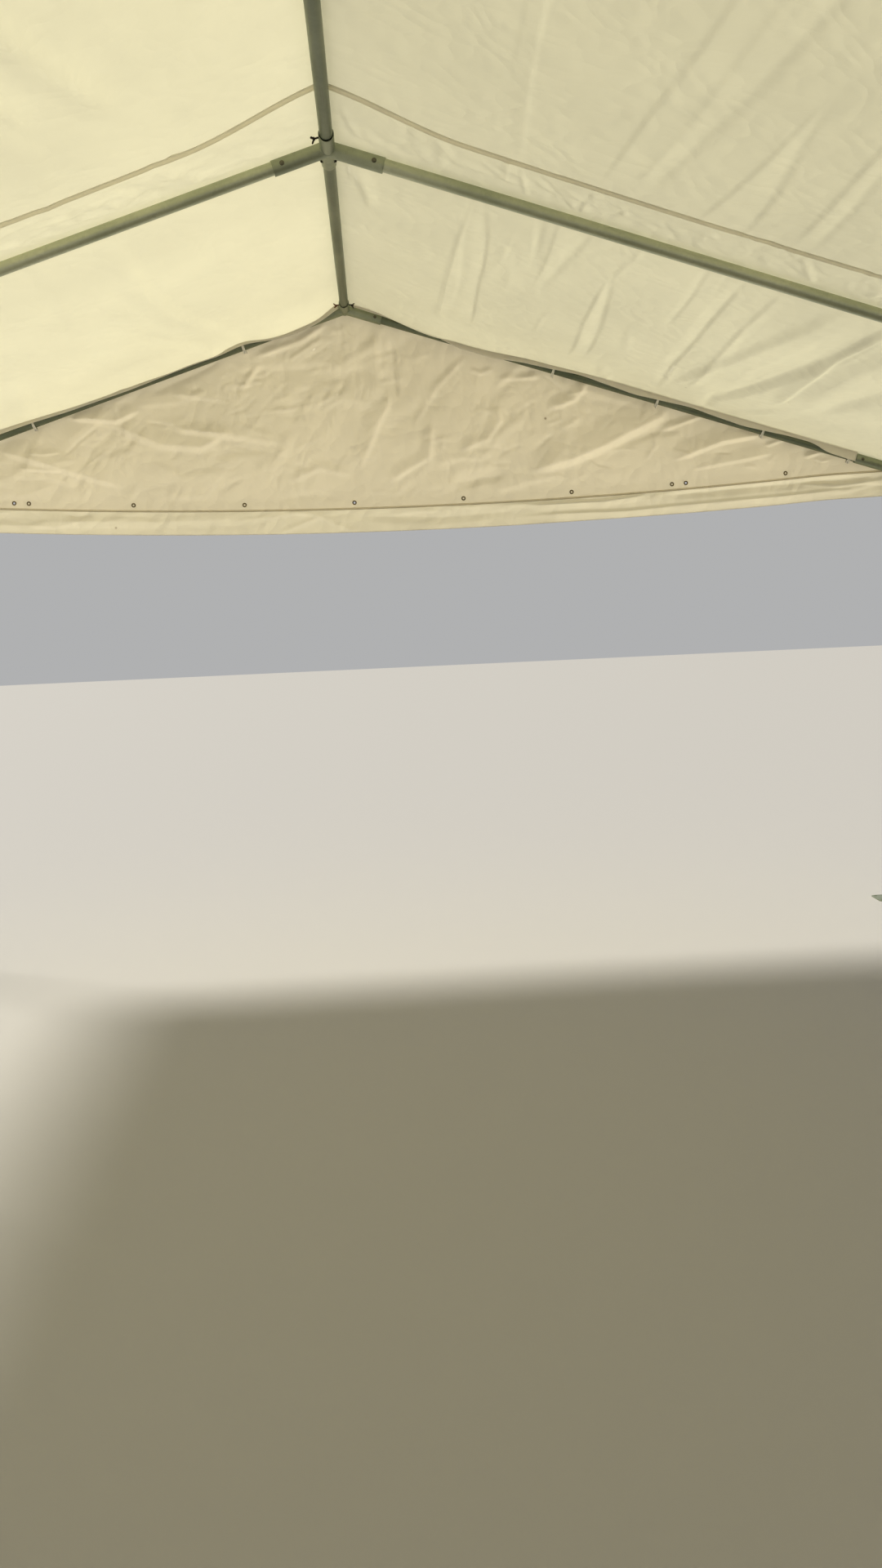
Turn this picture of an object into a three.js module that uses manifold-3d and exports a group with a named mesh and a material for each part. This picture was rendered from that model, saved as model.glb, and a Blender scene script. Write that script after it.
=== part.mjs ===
// A ceremony tent, open on all four sides: a frame of galvanised steel tubes in four portal frames,
// with a white coated-fabric roof, a gable panel at each end and a short valance all round.
// Millimetres, +Z up. The origin is on the ground under the middle of the ridge, and +Y runs along it.
import * as THREE from "three";
import { mergeVertices } from "three/addons/utils/BufferGeometryUtils.js";
import Module from "manifold-3d";

const wasm = await Module();
wasm.setup();

// Driving dimensions
const bayLength = 2000;
const bayCount = 3;
const halfSpan = 2480; // from the ridge plane to the centreline of a post
const ridgeHeight = 2826; // centreline of the ridge sockets above the ground
const roofPitch = THREE.MathUtils.degToRad(17.6);

// Tubes and the welded sockets that they slide into
const tubeRadius = 19;
const tubeWall = 1.5;
const socketBore = 20.5;
const socketRadius = 22.5;
const alongReach = 120; // half the length of a socket that lies along the tent
const endStub = 28; // how far that socket passes an end frame, outwards
const armReach = 170; // from a joint's centre to the mouth of a rafter or post arm
const tubeEndGap = 1; // how far a tube that lies along the tent stops short of its joint's middle
const roundSides = 12;
const seatGap = 0.3;
const cutOverrun = 1; // how far a bore's cutter passes the mouth

// Base plates
const plateSide = 120;
const plateThickness = 5;
const plateCorner = 14;
const pegHoleRadius = 7;
const pegHoleOffset = 42;
const spigotRadius = 17;
const spigotWall = 2;
const spigotHeight = 110;

// Cover
const coverThickness = 3;
const sheetSag = 45; // of a roof panel in the middle of a bay
const valanceBottom = 1925; // at the corners
const gableHemSag = 70; // of a gable's lower edge, halfway across
const slopeSteps = 8;
const bayRows = 8;
const gableSteps = 16;

// Worked out from the driving dimensions
const tentLength = bayLength * bayCount;
const eaveHeight = ridgeHeight - halfSpan * Math.tan(roofPitch);
const slopeDirection = (side) => new THREE.Vector3(side * Math.cos(roofPitch), 0, -Math.sin(roofPitch));
const frameY = (frame) => frame * bayLength - tentLength / 2;
const facetInset = Math.cos(Math.PI / roundSides);
// How far a tube stands off its socket's centreline when it is held against one side of it
const seatShift = (socketBore - tubeRadius) * facetInset - seatGap;
const sides = [
  { name: "left", sign: -1 },
  { name: "right", sign: 1 },
];

const galvanisedTube = new THREE.MeshStandardMaterial({ color: 0x7d8478, roughness: 0.48, metalness: 0.85 });
const galvanisedSocket = new THREE.MeshStandardMaterial({ color: 0x747a72, roughness: 0.55, metalness: 0.85 });
const coatedFabric = new THREE.MeshStandardMaterial({ color: 0xeee8d2, roughness: 0.6, metalness: 0 });

const tent = new THREE.Group();

function add(name, geometry, material) {
  const mesh = new THREE.Mesh(geometry, material);
  mesh.name = name;
  tent.add(mesh);
  return mesh;
}

// Turns geometry built along +Y from the origin so that it runs from one point towards another.
// Its facets always lie the same way round, so that a tube and its socket match.
function alongLine(geometry, from, to) {
  const along = new THREE.Vector3().subVectors(to, from).normalize();
  const reference = Math.abs(along.y) > 0.5 ? new THREE.Vector3(0, 0, 1) : new THREE.Vector3(0, 1, 0);
  const across = new THREE.Vector3().crossVectors(along, reference);
  const placed = new THREE.Matrix4().makeBasis(across, along, reference).setPosition(from);
  return geometry.applyMatrix4(placed);
}

function tubeGeometry(from, to, outer, inner) {
  const length = from.distanceTo(to);
  const ring = [
    new THREE.Vector2(outer, 0),
    new THREE.Vector2(outer, length),
    new THREE.Vector2(inner, length),
    new THREE.Vector2(inner, 0),
    new THREE.Vector2(outer, 0),
  ];
  return alongLine(new THREE.LatheGeometry(ring, roundSides), from, to);
}

// A round bar, or a cutter for a bore, which starts and ends past its two points by overrun
function rodGeometry(from, to, radius, startOverrun = 0, endOverrun = 0) {
  const length = from.distanceTo(to) + startOverrun + endOverrun;
  const rod = new THREE.CylinderGeometry(radius, radius, length, roundSides);
  return alongLine(rod.translate(0, length / 2 - startOverrun, 0), from, to);
}

// Geometry to a solid that can be cut and joined, and back
function solidOf(geometry) {
  const bare = new THREE.BufferGeometry().setIndex(geometry.index);
  bare.setAttribute("position", geometry.getAttribute("position"));
  const merged = mergeVertices(bare, 1e-3);
  return new wasm.Manifold(
    new wasm.Mesh({
      numProp: 3,
      vertProperties: new Float32Array(merged.attributes.position.array),
      triVerts: new Uint32Array(merged.index.array),
    }),
  );
}

function geometryOf(solid) {
  const mesh = solid.getMesh();
  const geometry = new THREE.BufferGeometry();
  geometry.setAttribute("position", new THREE.BufferAttribute(mesh.vertProperties, 3));
  geometry.setIndex(new THREE.BufferAttribute(mesh.triVerts, 1));
  geometry.computeVertexNormals();
  return geometry;
}

// A welded joint: one socket that lies along the tent, and arms whose bores stop at its wall
function jointGeometry(centre, reachBack, reachAhead, armDirections) {
  const back = centre.clone().add(new THREE.Vector3(0, -reachBack, 0));
  const ahead = centre.clone().add(new THREE.Vector3(0, reachAhead, 0));
  const throughOuter = solidOf(rodGeometry(back, ahead, socketRadius));
  const throughBore = solidOf(rodGeometry(back, ahead, socketBore, cutOverrun, cutOverrun));
  let body = throughOuter;
  for (const direction of armDirections) {
    const mouth = centre.clone().addScaledVector(direction, armReach);
    body = body.add(solidOf(rodGeometry(centre, mouth, socketRadius)));
  }
  for (const direction of armDirections) {
    const mouth = centre.clone().addScaledVector(direction, armReach);
    const armBore = solidOf(rodGeometry(centre, mouth, socketBore, 0, cutOverrun));
    body = body.subtract(armBore.subtract(throughOuter));
  }
  return geometryOf(body.subtract(throughBore));
}

// The through sockets stop just outside the end frames
function socketReach(frame) {
  return {
    back: frame === 0 ? endStub : alongReach,
    ahead: frame === bayCount ? endStub : alongReach,
  };
}

function addRidgeJoint(frame) {
  const centre = new THREE.Vector3(0, frameY(frame), ridgeHeight);
  const reach = socketReach(frame);
  const arms = sides.map((side) => slopeDirection(side.sign));
  add(`ridge_joint_${frame + 1}`, jointGeometry(centre, reach.back, reach.ahead, arms), galvanisedSocket);
}

function addEaveJoint(frame, side) {
  const centre = new THREE.Vector3(side.sign * halfSpan, frameY(frame), eaveHeight);
  const reach = socketReach(frame);
  const arms = [slopeDirection(side.sign).negate(), new THREE.Vector3(0, 0, -1)];
  add(`eave_joint_${side.name}_${frame + 1}`, jointGeometry(centre, reach.back, reach.ahead, arms), galvanisedSocket);
}

// Every tube stops at the wall of the socket that it meets end on
const stopDistance = socketRadius + seatGap;

function addRafter(frame, side) {
  const direction = slopeDirection(side.sign);
  const ridge = new THREE.Vector3(0, frameY(frame), ridgeHeight);
  const eave = new THREE.Vector3(side.sign * halfSpan, frameY(frame), eaveHeight);
  const lift = new THREE.Vector3(side.sign * Math.sin(roofPitch), 0, Math.cos(roofPitch)).multiplyScalar(seatShift);
  const from = ridge.addScaledVector(direction, stopDistance).add(lift);
  const to = eave.addScaledVector(direction, -stopDistance).add(lift);
  add(`rafter_${side.name}_${frame + 1}`, tubeGeometry(from, to, tubeRadius, tubeRadius - tubeWall), galvanisedTube);
}

function addPost(frame, side) {
  const x = side.sign * (halfSpan + seatShift);
  const from = new THREE.Vector3(x, frameY(frame), eaveHeight - stopDistance);
  const to = new THREE.Vector3(x, frameY(frame), plateThickness + seatGap);
  add(`post_${side.name}_${frame + 1}`, tubeGeometry(from, to, tubeRadius, tubeRadius - tubeWall), galvanisedTube);
}

// A tube that joins two frames along the tent: the ridge, or an eave
function addLongTube(name, bay, x, z) {
  const from = new THREE.Vector3(x, frameY(bay) + tubeEndGap, z + seatShift);
  const to = new THREE.Vector3(x, frameY(bay + 1) - tubeEndGap, z + seatShift);
  add(`${name}_${bay + 1}`, tubeGeometry(from, to, tubeRadius, tubeRadius - tubeWall), galvanisedTube);
}

// A square plate with four peg holes, and the spigot welded to it that stands inside the post
function addBasePlate(frame, side) {
  const half = plateSide / 2;
  const inner = half - plateCorner;
  const outline = new THREE.Shape();
  outline.moveTo(-inner, -half);
  outline.lineTo(inner, -half);
  outline.absarc(inner, -inner, plateCorner, -Math.PI / 2, 0);
  outline.absarc(inner, inner, plateCorner, 0, Math.PI / 2);
  outline.absarc(-inner, inner, plateCorner, Math.PI / 2, Math.PI);
  outline.absarc(-inner, -inner, plateCorner, Math.PI, 1.5 * Math.PI);
  for (const x of [-pegHoleOffset, pegHoleOffset]) {
    for (const y of [-pegHoleOffset, pegHoleOffset]) {
      outline.holes.push(new THREE.Path().absarc(x, y, pegHoleRadius, 0, 2 * Math.PI));
    }
  }
  const flat = new THREE.ExtrudeGeometry(outline, { depth: plateThickness, bevelEnabled: false, curveSegments: 4 });
  const x = side.sign * (halfSpan + seatShift);
  const y = frameY(frame);
  flat.translate(x, y, 0);
  const top = new THREE.Vector3(x, y, spigotHeight);
  const foot = new THREE.Vector3(x, y, plateThickness / 2);
  const spigot = solidOf(rodGeometry(top, foot, spigotRadius));
  const floor = new THREE.Vector3(x, y, plateThickness);
  const hollow = solidOf(rodGeometry(top, floor, spigotRadius - spigotWall, cutOverrun));
  const plate = solidOf(flat).add(spigot).subtract(hollow);
  add(`base_plate_${side.name}_${frame + 1}`, geometryOf(plate), galvanisedSocket);
}

// A closed sheet from a grid of points on its upper face and the matching points on its lower face
function sheetGeometry(upper, lower) {
  const rows = upper.length;
  const columns = upper[0].length;
  const points = [...upper.flat(), ...lower.flat()];
  const layer = rows * columns;
  const triangles = [];
  const quad = (a, b, c, d) => triangles.push(a, b, c, a, c, d);
  const at = (row, column) => row * columns + column;
  for (let row = 0; row < rows - 1; row++) {
    for (let column = 0; column < columns - 1; column++) {
      const corners = [at(row, column), at(row, column + 1), at(row + 1, column + 1), at(row + 1, column)];
      quad(...corners);
      quad(...corners.reverse().map((corner) => corner + layer));
    }
    quad(at(row + 1, 0), at(row + 1, 0) + layer, at(row, 0) + layer, at(row, 0));
    const last = columns - 1;
    quad(at(row, last), at(row, last) + layer, at(row + 1, last) + layer, at(row + 1, last));
  }
  for (let column = 0; column < columns - 1; column++) {
    quad(at(0, column), at(0, column) + layer, at(0, column + 1) + layer, at(0, column + 1));
    const end = rows - 1;
    quad(at(end, column + 1), at(end, column + 1) + layer, at(end, column) + layer, at(end, column));
  }
  const geometry = new THREE.BufferGeometry().setFromPoints(points);
  geometry.setIndex(triangles);
  geometry.computeVertexNormals();
  return geometry;
}

// Across the tent: valance hem, eave, slope, ridge, slope, eave, valance hem.
// offset is how far the face stands off the sockets' centrelines.
function roofSection(offset, sagShare) {
  const half = [];
  const eaveX = halfSpan + offset;
  const surfaceZ = (x) => ridgeHeight + offset / Math.cos(roofPitch) - x * Math.tan(roofPitch);
  for (let step = 0; step <= slopeSteps; step++) {
    const share = step / slopeSteps;
    const x = eaveX * share;
    half.push([x, surfaceZ(x) - sheetSag * sagShare * Math.sin(Math.PI * share)]);
  }
  half.push([eaveX, valanceBottom]);
  const right = half.slice(1);
  const left = right.map(([x, z]) => [-x, z]).reverse();
  return [...left, half[0], ...right];
}

const coverInner = socketRadius + seatGap;
const gableInner = tentLength / 2 + endStub + seatGap;
const roofEnd = gableInner + coverThickness + seatGap;

// Rows of the roof along the tent, each with its share of a bay's sag
function roofRows() {
  const rows = [{ y: -roofEnd, share: 0 }];
  for (let bay = 0; bay < bayCount; bay++) {
    for (let step = 0; step < bayRows; step++) {
      const along = step / bayRows;
      rows.push({ y: frameY(bay) + along * bayLength, share: Math.sin(Math.PI * along) });
    }
  }
  rows.push({ y: frameY(bayCount), share: 0 }, { y: roofEnd, share: 0 });
  return rows;
}

function addRoofCover() {
  const face = (offset) =>
    roofRows().map(({ y, share }) => roofSection(offset, share).map(([x, z]) => new THREE.Vector3(x, y, z)));
  add("roof_cover", sheetGeometry(face(coverInner + coverThickness), face(coverInner)), coatedFabric);
}

// A triangle under the roof's end, run down past the eaves to the valance's hem, which sags a little
function addGablePanel(name, end) {
  const gap = coverInner - seatGap;
  const eaveX = halfSpan + gap;
  const roofZ = (x) => ridgeHeight + gap / Math.cos(roofPitch) - Math.abs(x) * Math.tan(roofPitch);
  const hemZ = (x) => valanceBottom - gableHemSag * (1 - (x / eaveX) ** 2);
  const outline = new THREE.Shape();
  outline.moveTo(-eaveX, valanceBottom);
  for (let step = 1; step <= gableSteps; step++) {
    const x = eaveX * ((2 * step) / gableSteps - 1);
    outline.lineTo(x, hemZ(x));
  }
  outline.lineTo(eaveX, roofZ(eaveX));
  outline.lineTo(0, roofZ(0));
  outline.lineTo(-eaveX, roofZ(eaveX));
  outline.closePath();
  const flat = new THREE.ExtrudeGeometry(outline, { depth: coverThickness, bevelEnabled: false });
  flat.rotateX(Math.PI / 2); // the outline stands up, and its thickness runs towards -Y
  flat.translate(0, end > 0 ? gableInner + coverThickness : -gableInner, 0);
  add(name, flat, coatedFabric);
}

for (let frame = 0; frame <= bayCount; frame++) {
  addRidgeJoint(frame);
  for (const side of sides) {
    addEaveJoint(frame, side);
    addRafter(frame, side);
    addPost(frame, side);
    addBasePlate(frame, side);
  }
}
for (let bay = 0; bay < bayCount; bay++) {
  addLongTube("ridge_tube", bay, 0, ridgeHeight);
  for (const side of sides) {
    addLongTube(`eave_tube_${side.name}`, bay, side.sign * halfSpan, eaveHeight);
  }
}
addRoofCover();
addGablePanel("gable_panel_front", -1);
addGablePanel("gable_panel_back", 1);

export default tent;
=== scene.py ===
import math

import bmesh
import bpy
import numpy as np
from mathutils import Matrix, Quaternion, Vector


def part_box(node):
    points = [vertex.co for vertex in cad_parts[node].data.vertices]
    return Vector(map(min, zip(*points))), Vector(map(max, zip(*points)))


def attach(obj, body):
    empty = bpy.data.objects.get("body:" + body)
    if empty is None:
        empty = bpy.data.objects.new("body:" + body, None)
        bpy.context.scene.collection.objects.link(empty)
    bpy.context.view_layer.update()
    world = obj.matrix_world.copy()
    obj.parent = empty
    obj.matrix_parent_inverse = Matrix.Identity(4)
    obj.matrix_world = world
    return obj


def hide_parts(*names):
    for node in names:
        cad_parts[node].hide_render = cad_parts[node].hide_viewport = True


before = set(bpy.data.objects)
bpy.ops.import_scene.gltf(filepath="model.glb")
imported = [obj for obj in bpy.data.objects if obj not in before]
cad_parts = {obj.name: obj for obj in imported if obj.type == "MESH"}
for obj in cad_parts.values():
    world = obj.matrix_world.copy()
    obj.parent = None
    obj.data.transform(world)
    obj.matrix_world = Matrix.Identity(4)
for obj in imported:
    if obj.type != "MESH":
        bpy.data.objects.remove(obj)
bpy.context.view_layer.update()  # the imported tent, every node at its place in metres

scene = bpy.context.scene
steelSlot, socketSlot, fabricSlot = "galvanised_tube", "galvanised_socket", "coated_fabric"
alongY, upwards = Vector((0, 1, 0)), Vector((0, 0, 1))


# Measures read from the frame
def boxCentre(node):
    low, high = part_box(node)
    return (low + high) / 2


bayCount = 3
sides = {"left": -1, "right": 1}
steel = {
    "tubeRadius": 0.019,
    "tubeWall": 0.0015,
    "bore": 0.0205,
    "socketRadius": 0.0225,
    "seat": 0.00115,  # how far a clamped tube stands off its socket's centreline
    "alongReach": 0.12,
    "endStub": 0.028,
    "armReach": 0.17,
    "facets": 48,
    "rim": 0.0005,  # the broken edge at a tube's mouth
    "bead": 0.0024,  # half the width of a weld
    "sink": 0.0004,  # how far an arm's root goes into the sleeve's wall
}
frameYs = [boxCentre(f"post_left_{number + 1}").y for number in range(bayCount + 1)]
halfSpan = boxCentre("post_right_1").x - steel["seat"]
ridgeZ = boxCentre("ridge_tube_1").z - steel["seat"]
eaveZ = boxCentre("eave_tube_right_1").z - steel["seat"]
pitch = math.atan2(ridgeZ - eaveZ, halfSpan)
slopeLength = halfSpan / math.cos(pitch)
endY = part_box("roof_cover")[1].y


# Colours and material nodes
def colour(hexCode):
    channels = [int(hexCode[i:i + 2], 16) / 255 for i in (1, 3, 5)]
    return [c / 12.92 if c <= 0.04045 else ((c + 0.055) / 1.055) ** 2.4 for c in channels] + [1.0]


def withSettings(item, **settings):
    for name, value in settings.items():
        setattr(item, name, value)
    return item


# Adds a node to a tree, sets its properties, colour stops and inputs, and links the inputs that are given as
# sockets, or as nodes, which stand for their first output
def addNode(tree, kind, settings={}, stops=(), **inputs):
    node = withSettings(tree.nodes.new(kind), **settings)
    for i, (place, value) in enumerate(stops):
        elements = node.color_ramp.elements
        tone = colour(value) if isinstance(value, str) else [value, value, value, 1]
        withSettings(elements[i], position=place, color=tone)
    for name, value in inputs.items():
        socket = node.inputs[int(name[1:]) if name[0] == "_" else name.replace("_", " ")]
        if isinstance(value, bpy.types.Node):
            value = next(output for output in value.outputs if output.enabled)
        if isinstance(value, bpy.types.NodeSocket):
            tree.links.new(value, socket)
        else:
            socket.default_value = value
    return node


multiply, blend = {"data_type": "RGBA", "blend_type": "MULTIPLY"}, {"data_type": "RGBA"}


# A new material, its tree, and the places that its patterns are laid out on
def newMaterial(name):
    material = bpy.data.materials.new(name)
    material.use_nodes = True
    material.node_tree.nodes.clear()
    return material, material.node_tree, addNode(material.node_tree, "ShaderNodeTexCoord").outputs


# Hot-dip galvanised steel: a dull zinc skin with faint crystals a few millimetres wide,
# soft streaks drawn out along the tube and thin brown stains, so it gleams softly and a little unevenly
def galvanisedSteel(name, pale, dark, roughness):
    material, tree, place = newMaterial(name)
    crystals = addNode(tree, "ShaderNodeTexVoronoi", Vector=place["Object"], Scale=1 / 0.009)
    cloud = addNode(tree, "ShaderNodeTexNoise", Vector=place["Object"], Scale=1 / 0.3, Detail=4.0)
    stretched = addNode(tree, "ShaderNodeMapping", Vector=place["UV"], Scale=(1 / 0.02, 1 / 0.5, 1.0))
    streaks = addNode(tree, "ShaderNodeTexNoise", Vector=stretched, Scale=1.0, Detail=6.0, Roughness=0.6)
    zinc = addNode(tree, "ShaderNodeValToRGB", stops=[(0.3, dark), (0.7, pale)], Fac=cloud)
    grain = addNode(tree, "ShaderNodeValToRGB", stops=[(0.0, 0.9), (1.0, 1.0)], Fac=crystals.outputs["Color"])
    zinc = addNode(tree, "ShaderNodeMix", multiply, _0=1.0, _6=zinc, _7=grain)
    stain = addNode(tree, "ShaderNodeValToRGB", stops=[(0.6, 0.0), (0.78, 0.6)], Fac=streaks)
    zinc = addNode(tree, "ShaderNodeMix", blend, _0=stain, _6=zinc, _7=colour("#6a5a42"))
    rough = addNode(tree, "ShaderNodeMapRange", Value=streaks, To_Min=roughness - 0.06,
                    To_Max=roughness + 0.12)
    bump = addNode(tree, "ShaderNodeBump", Strength=0.2, Distance=0.0003, Height=cloud)
    shader = addNode(tree, "ShaderNodeBsdfPrincipled", Base_Color=zinc, Metallic=0.85, Roughness=rough,
                     Normal=bump)
    addNode(tree, "ShaderNodeOutputMaterial", Surface=shader)
    return material


# Coated tent fabric: a woven scrim in a matt skin, crumpled finely from being folded away. Light comes
# through each face by the share given, so it glows where the sun is behind it. It's a little soiled.
def coatedFabric(name, skin, through, share, soil=1.0, creases=0.7):
    material, tree, place = newMaterial(name)
    cloud = addNode(tree, "ShaderNodeTexNoise", Vector=place["Object"], Scale=1 / 0.5, Detail=4.0)
    shade = addNode(tree, "ShaderNodeValToRGB", stops=[(0.3, 0.955), (0.7, 1.0)], Fac=cloud)
    spot = addNode(tree, "ShaderNodeTexVoronoi", Vector=place["Object"], Scale=1 / 0.38)
    dirt = addNode(tree, "ShaderNodeValToRGB", stops=[(0.008, 0.55 * soil), (0.02, 0.0)], Fac=spot)
    # Flat facets about 60 mm wide with sharp creases between them, from being packed, and finer crumples
    drift = addNode(tree, "ShaderNodeTexNoise", Vector=place["UV"], Scale=1 / 0.3, Detail=2.0)
    bent = addNode(tree, "ShaderNodeVectorMath", {"operation": "MULTIPLY_ADD"}, _0=drift.outputs["Color"],
                   _1=(0.25, 0.25, 0), _2=place["UV"])
    facets = addNode(tree, "ShaderNodeTexVoronoi", Vector=bent, Scale=1 / 0.06)
    packed = addNode(tree, "ShaderNodeBump", Strength=creases, Distance=0.006, Height=facets)
    fine = addNode(tree, "ShaderNodeTexNoise", Vector=place["Object"], Scale=1 / 0.035, Detail=6.0)
    crumple = addNode(tree, "ShaderNodeBump", Strength=0.3, Distance=0.003, Height=fine, Normal=packed)
    tones = []
    for code in (skin, through):
        clean = addNode(tree, "ShaderNodeMix", multiply, _0=1.0, _6=colour(code), _7=shade)
        tones.append(addNode(tree, "ShaderNodeMix", blend, _0=dirt, _6=clean, _7=colour("#8a6f49")))
    front = addNode(tree, "ShaderNodeBsdfPrincipled", Base_Color=tones[0], Roughness=0.5, Normal=crumple)
    back = addNode(tree, "ShaderNodeBsdfTranslucent", Color=tones[1], Normal=crumple)
    mixed = addNode(tree, "ShaderNodeMixShader", Fac=share, _1=front, _2=back)
    addNode(tree, "ShaderNodeOutputMaterial", Surface=mixed)
    return material


# Small parts, a little mottled: oxidised and rusted steel, dulled zinc and brass, elastic and thread
def plainFinish(name, code, roughness, metallic, mottle):
    material, tree, place = newMaterial(name)
    cloud = addNode(tree, "ShaderNodeTexNoise", Vector=place["Object"], Scale=1 / mottle, Detail=5.0)
    shade = addNode(tree, "ShaderNodeValToRGB", stops=[(0.3, 0.75), (0.7, 1.0)], Fac=cloud)
    tone = addNode(tree, "ShaderNodeMix", multiply, _0=1.0, _6=colour(code), _7=shade)
    bump = addNode(tree, "ShaderNodeBump", Strength=0.2, Distance=0.0002, Height=cloud)
    shader = addNode(tree, "ShaderNodeBsdfPrincipled", Base_Color=tone, Roughness=roughness,
                     Metallic=metallic, Normal=bump)
    addNode(tree, "ShaderNodeOutputMaterial", Surface=shader)
    return material


zincTube = galvanisedSteel("galvanisedTubeSteel", "#c3c6ad", "#a4aa91", 0.36)
# A darker copy of the tube zinc with shade painted into its colour, for the ridge and the far rafters
shadePaintedZincTube = galvanisedSteel("shadePaintedTubeSteel", "#7e8570", "#68705d", 0.42)
zincSocket = galvanisedSteel("galvanisedWeldedSteel", "#a5aa93", "#888f78", 0.44)
darkSteel = plainFinish("oxidisedScrewSteel", "#3b352c", 0.6, 0.8, 0.006)
rustySteel = plainFinish("rustedScrewSteel", "#7a4f33", 0.75, 0.5, 0.006)
roofFabric = coatedFabric("coatedRoofFabric", "#f2efe4", "#f9f6e1", 0.60, 1.0, 0.4)
gableFabric = coatedFabric("coatedGableFabric", "#efe9da", "#f5efdd", 0.58, 1.0, 0.6)
valanceFabric = coatedFabric("coatedValanceFabric", "#f1ecde", "#f8f3e1", 0.59)
bandFabric = coatedFabric("weldedBandFabric", "#f5f2e8", "#faf7ec", 0.66, 0.0)
hemFabric = coatedFabric("foldedHemFabric", "#f8f4ea", "#fbf6e6", 0.42, 0.0)
zincBolt = plainFinish("dullZincBolt", "#6d6a5a", 0.5, 0.8, 0.006)
brass = plainFinish("dulledBrassEyelet", "#6e6142", 0.45, 0.9, 0.005)
elastic = plainFinish("whiteBraidedElastic", "#f1eee4", 0.8, 0.0, 0.004)
thread = plainFinish("polyesterSeamThread", "#8d8263", 0.8, 0.0, 0.01)


# Mesh making
def placed(name, data):
    made = bpy.data.objects.new(name, data)
    scene.collection.objects.link(made)
    return made


# The plain mesh that an object comes to. The object itself goes.
def outcome(holder):
    bpy.context.view_layer.update()
    mesh = bpy.data.meshes.new_from_object(holder.evaluated_get(bpy.context.evaluated_depsgraph_get()))
    bpy.data.objects.remove(holder)
    return mesh


def asPiece(name, points, faces, uvs, material, sharpAngle=None):
    mesh = bpy.data.meshes.new(name)
    mesh.from_pydata(points, [], faces)
    layer = mesh.uv_layers.new(name="metres")
    layer.data.foreach_set("uv", np.array(uvs, np.float32).ravel())
    mesh.materials.append(material)
    mesh.shade_smooth()
    if sharpAngle:
        mesh.set_sharp_from_angle(angle=sharpAngle)
    return placed(name, mesh)


class Shape:
    # Points, faces and a UV in metres for each face corner, gathered before they become a mesh
    def __init__(self):
        self.points, self.faces, self.uvs = [], [], []

    def add(self, points, faces, uvs):
        start = len(self.points)
        self.points += [tuple(p) for p in points]
        self.faces += [[corner + start for corner in face] for face in faces]
        self.uvs += uvs
        return self

    def made(self, name, material, sharpAngle=math.radians(40)):
        return asPiece(name, self.points, self.faces, self.uvs, material, sharpAngle)


# Joins each ring of points to the next by a band of quads. Each band says the V of its two edges and a quad's
# width, and as many bands as rings close the loop. A ring of one point closes an end.
def lofted(shape, rings, bands):
    facets = max(len(ring) for ring in rings)
    corners, points, faces, uvs = [], [], [], []
    for ring in rings:
        corners.append([len(points) + j % len(ring) for j in range(facets)])
        points += ring
    for i, (v0, v1, width) in enumerate(bands):
        below, above = corners[i], corners[(i + 1) % len(rings)]
        for j in range(facets):
            k = (j + 1) % facets
            face = [(below[j], (j * width, v0)), (above[j], (j * width, v1)),
                    (above[k], ((j + 1) * width, v1)), (below[k], ((j + 1) * width, v0))]
            kept = [corner for n, corner in enumerate(face) if corner[0] != face[n - 1][0]]
            faces.append([index for index, uv in kept])
            uvs += [uv for index, uv in kept]
    return shape.add(points, faces, uvs)


# Cosines and sines round a full turn
def roundTurn(count):
    return [(math.cos(2 * math.pi * j / count), math.sin(2 * math.pi * j / count)) for j in range(count)]


# Turns a profile of (distance along, radius) round the line from start towards another point.
# A loop of a profile makes a tube, and one that starts and ends at radius 0 a solid.
def turned(shape, profile, start, towards, facets=steel["facets"], loop=True):
    along = (towards - start).normalized()
    first = along.cross(upwards if abs(along.z) < 0.9 else alongY).normalized()
    second = along.cross(first).normalized()
    rings = [[start + along * distance + (first * c + second * s) * radius
              for c, s in roundTurn(facets if radius else 1)] for distance, radius in profile]
    bands = [(v0, v1, 2 * math.pi * max(r0, r1) / facets)
             for (v0, r0), (v1, r1) in zip(profile, profile[1:] + profile[:1])]
    return lofted(shape, rings, bands if loop else bands[:-1])


# A round cord or bead along a closed path, with its own radius at each point and flattened outwards by squash
def closedCord(shape, path, centre, radii, squash=1.0, facets=8):
    rings, bands = [], []
    for j, (point, after) in enumerate(zip(path, path[1:] + path[:1])):
        outwards = (point - centre).normalized()
        second = (after - path[j - 1]).normalized().cross(outwards).normalized()
        rings.append([point + (outwards * c * squash + second * s) * radii[j] for c, s in roundTurn(facets)])
        length = (after - point).length
        bands.append((j * length, (j + 1) * length, 2 * math.pi * radii[0] / facets))
    return lofted(shape, rings, bands)


def tubeProfile(length, outer, inner):
    rim = steel["rim"]
    return [(rim, outer), (length - rim, outer), (length, outer - rim), (length, inner + rim),
            (length - rim, inner), (rim, inner), (0, inner + rim), (0, outer - rim)]


# The centres of a straight tube's two ends, from the corners of its facets
def tubeEnds(node):
    corners = np.array([v.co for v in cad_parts[node].data.vertices])
    corners = np.unique(corners.round(5), axis=0)
    middle = corners.mean(0)
    along = np.linalg.svd(corners - middle, full_matrices=False)[2][0]
    reach = (corners - middle) @ along
    return Vector(corners[reach < 0].mean(0)), Vector(corners[reach > 0].mean(0))


def dress(piece, slot, *nodes):
    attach(piece, "root")
    if nodes:
        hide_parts(*nodes)
    return piece


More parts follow.
